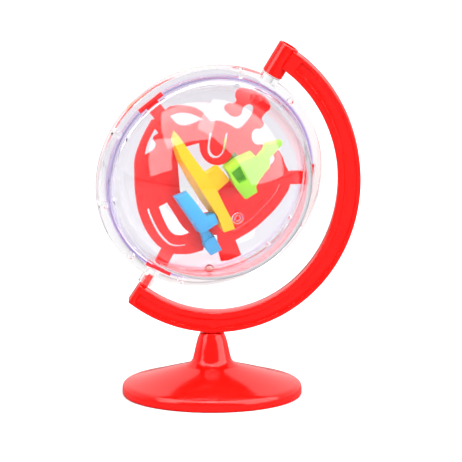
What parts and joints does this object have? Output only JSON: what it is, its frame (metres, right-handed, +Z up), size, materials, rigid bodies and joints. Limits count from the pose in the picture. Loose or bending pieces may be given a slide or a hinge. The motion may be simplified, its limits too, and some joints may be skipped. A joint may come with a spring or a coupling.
{
  "type": "desk globe ball maze puzzle",
  "caption": "Clear two-part globe with a coloured ball maze inside, spinning on a tilted axis in a red C-shaped arm on a round foot.",
  "frame": {"origin": "middle of the foot's underside, on the table", "axes": "+Z up; the arm lies in the XZ plane with its back towards +X; the maze's front faces roughly -Y"},
  "size_m": [0.0731, 0.0572, 0.0997],
  "materials": {
    "stand_red": "moulded glossy red plastic",
    "clear_shell": "clear moulded polystyrene with a faint lilac edge",
    "maze_red": "moulded glossy red plastic",
    "maze_yellow": "moulded glossy yellow plastic",
    "maze_blue": "moulded glossy blue plastic",
    "maze_green": "moulded glossy green plastic",
    "ball_steel": "polished steel ball"
  },
  "bodies": {
    "foot": {"pedestal_foot": "stand_red"},
    "arm": {"globe_arm": "stand_red"},
    "globe": {"front_dome": "clear_shell", "back_dome": "clear_shell", "maze_plate": "maze_red", "yellow_rail": "maze_yellow", "blue_bracket": "maze_blue", "green_bracket": "maze_green"},
    "ball": {"steel_ball": "ball_steel"}
  },
  "joints": [
    {"name": "arm_swivel", "type": "hinge", "parent": "foot", "child": "arm", "pos_m": [0, 0, 0.0175], "axis": [0, 0, 1], "continuous": true},
    {"name": "globe_spin", "type": "hinge", "parent": "arm", "child": "globe", "pos_m": [-0.0007, 0, 0.0614], "axis": [0.515, 0, 0.8572], "continuous": true},
    {"name": "steel_ball_roll", "type": "hinge", "parent": "globe", "child": "ball", "pos_m": [-0.0007, 0, 0.0614], "axis": [0.515, 0, 0.8572], "continuous": true}
  ]
}
